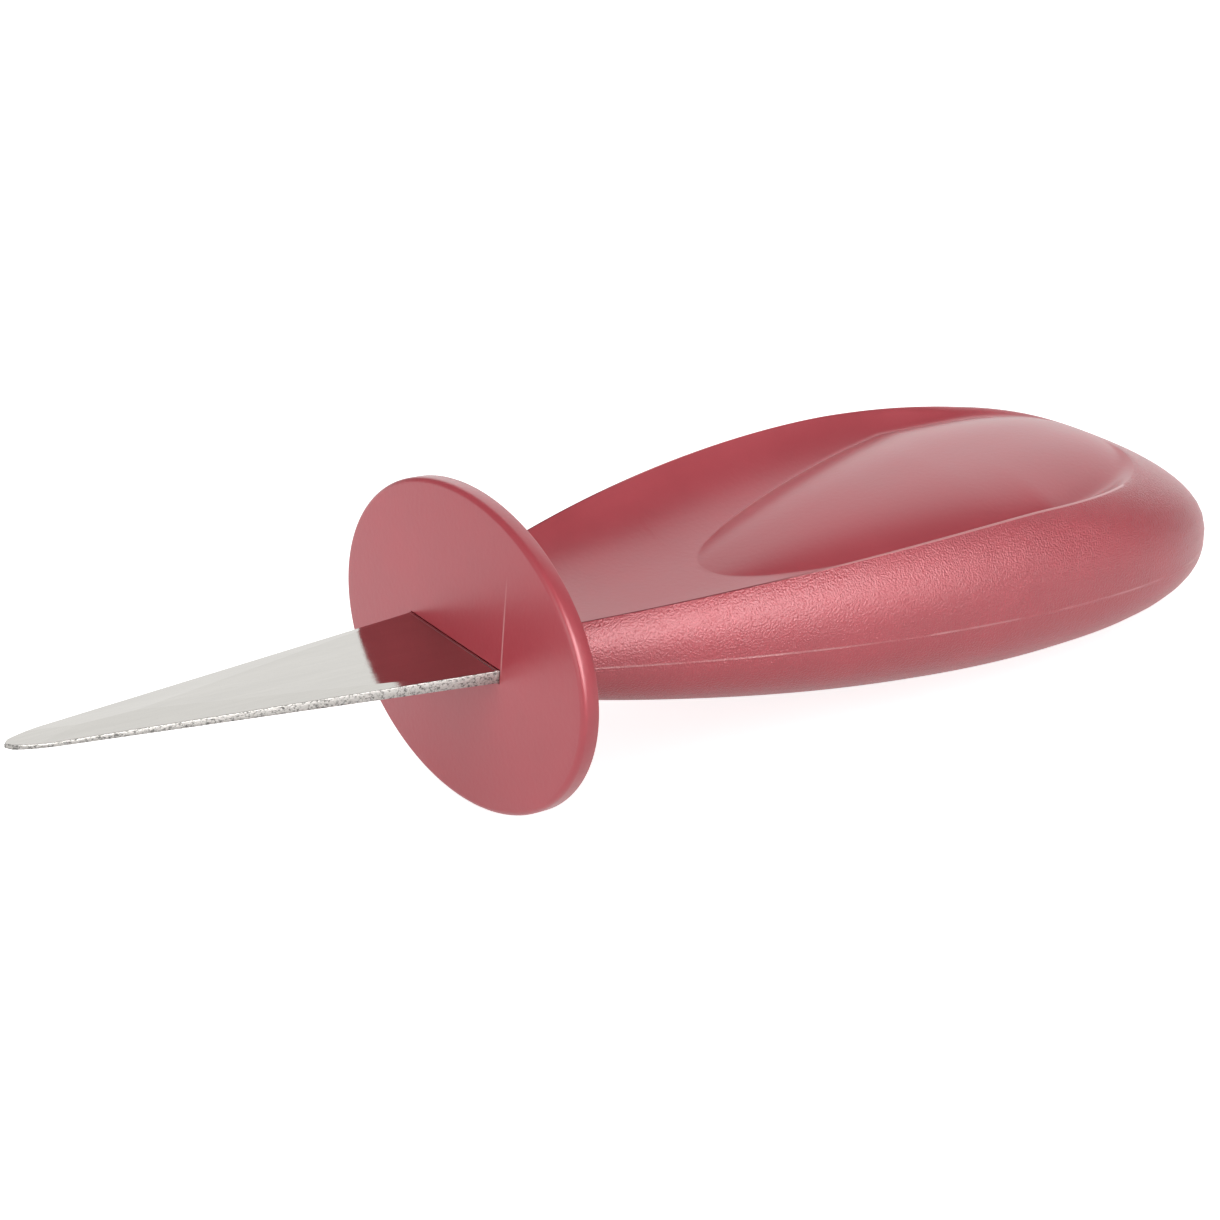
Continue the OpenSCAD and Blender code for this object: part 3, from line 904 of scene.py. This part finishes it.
class KNIFE_OT_handle_lower(Operator):
    """Loft the lower shell with the flash along its parting line"""
    bl_idname = "knife.handle_lower"
    bl_label = "Lower handle"

    def execute(self, context):
        piece, _ = shell("handle_belly", lower_half)
        piece.data.materials.append(bpy.data.materials["flank plastic"])
        lay_down(piece)
        smooth(piece, radians(40))
        hand_over(piece, "raspberry_plastic", "handle_lower")
        return {"FINISHED"}


class KNIFE_OT_pins(Operator):
    """Finish the hidden pins through the tang"""
    bl_idname = "knife.pins"
    bl_label = "Tang pins"

    def execute(self, context):
        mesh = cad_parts["tang_pins"].data
        mesh.materials.clear()
        mesh.materials.append(pin_steel())
        return {"FINISHED"}


def pale_floor():
    """White to the camera and to gloss, but darker where the knife's shadow falls."""
    material = new_material("pale floor")
    s = Shader(material.node_tree)
    studio, rays = settings().studio, s.add("LightPath").outputs
    seen = s.math("MULTIPLY", rays["Is Camera Ray"], studio.floor_glow)
    bounced = s.math("MAXIMUM", rays["Is Glossy Ray"], rays["Is Transmission Ray"])
    glossed = s.math("MULTIPLY", bounced, studio.floor_gloss)
    paper = s.add("BsdfDiffuse", {"Color": (0.8, 0.8, 0.8, 1)})
    glow = s.add("Emission", {"Color": (1, 1, 1, 1), "Strength": s.math("MAXIMUM", seen, glossed)})
    both = s.add("AddShader", {0: paper.outputs[0], 1: glow.outputs[0]})
    s.add("OutputMaterial", {"Surface": both.outputs[0]})
    return material


def softbox(name, place, width, power):
    """A square lamp turned towards the knife."""
    bpy.ops.object.light_add(type="AREA", location=place)
    lamp = bpy.context.object
    lamp.name = name
    lamp.data.size = width
    lamp.data.energy = power
    lamp.rotation_euler = Vector(place).to_track_quat("Z", "Y").to_euler()


def glow_towards(s, axis, spread, strength):
    """A soft round glow about one direction of the surround."""
    looking = s.add("TexCoord").outputs["Generated"]
    facing = s.add("VectorMath", {0: looking, 1: Vector(axis).normalized()},
                   operation="DOT_PRODUCT").outputs["Value"]
    return s.add("MapRange", {"Value": facing, "From Min": spread[0], "From Max": spread[1],
                              "To Min": 0.0, "To Max": strength},
                 interpolation_type="SMOOTHSTEP").outputs[0]


class KNIFE_OT_stage(Operator):
    """Set the camera, the lamps and the pale floor"""
    bl_idname = "knife.stage"
    bl_label = "Stage"

    def execute(self, context):
        studio = settings().studio
        deselect()
        bpy.ops.mesh.primitive_plane_add(size=FLOOR_WIDTH)
        floor = context.object
        floor.name = "floor"
        floor.data.materials.append(pale_floor())
        deselect()
        bpy.ops.object.camera_add(location=studio.camera_place, rotation=studio.camera_turn)
        camera = context.object
        camera.data.lens = studio.lens
        camera.data.sensor_width = SENSOR_WIDTH
        camera.data.clip_start, camera.data.clip_end = 0.01, 20
        context.scene.camera = camera
        softbox("key softbox", studio.key_place, studio.key_size, studio.key_power)
        softbox("fill softbox", studio.fill_place, studio.fill_size, studio.fill_power)
        world = bpy.data.worlds.new("studio")
        context.scene.world = world
        world.use_nodes = True
        world.node_tree.nodes.clear()
        s = Shader(world.node_tree)
        rays = s.add("LightPath").outputs
        backdrop = glow_towards(s, studio.glow_turn, BACKDROP_SPREAD, studio.glow - studio.dim)
        near = glow_towards(s, studio.key_turn, KEY_SPREAD, studio.key_glow)
        gloss = s.math("ADD", studio.dim, s.math("ADD", backdrop, near))
        blend = s.add("Mix", {0: rays["Is Glossy Ray"], 2: studio.surround, 3: gloss},
                      data_type="FLOAT").outputs[0]
        strength = s.math("MAXIMUM", blend, s.math("MAXIMUM", rays["Is Camera Ray"],
                                                   rays["Is Transmission Ray"]))
        sky = s.add("Background", {"Color": (1, 1, 1, 1), "Strength": strength})
        s.add("OutputWorld", {"Surface": sky.outputs[0]})
        context.scene.view_settings.view_transform = "Standard"
        return {"FINISHED"}


STEPS = (KNIFE_OT_stage, KNIFE_OT_blade, KNIFE_OT_guard, KNIFE_OT_handle_upper,
         KNIFE_OT_handle_lower, KNIFE_OT_pins)


class KNIFE_PT_sidebar(Panel):
    bl_idname = "KNIFE_PT_sidebar"
    bl_label = "Oyster knife"
    bl_space_type = "VIEW_3D"
    bl_region_type = "UI"
    bl_category = "Oyster knife"

    def draw(self, context):
        for step in STEPS:
            self.layout.operator(step.bl_idname)
        knife = settings()
        for group in (knife.blade, knife.guard, knife.handle, knife.finishes, knife.studio):
            box = self.layout.box()
            for name in group.__annotations__:
                box.prop(group, name)


CLASSES = (BladeSizes, GuardSizes, HandleSizes, Finishes, Studio, KnifeSettings, *STEPS,
           KNIFE_PT_sidebar)


def register():
    for each in CLASSES:
        bpy.utils.register_class(each)
    bpy.types.Scene.oyster_knife = PointerProperty(type=KnifeSettings)


def unregister():
    del bpy.types.Scene.oyster_knife
    for each in reversed(CLASSES):
        bpy.utils.unregister_class(each)


def main():
    register()
    for step in STEPS:
        group, name = step.bl_idname.split(".")
        getattr(getattr(bpy.ops, group), name)()


if __name__ == "__main__":
    main()
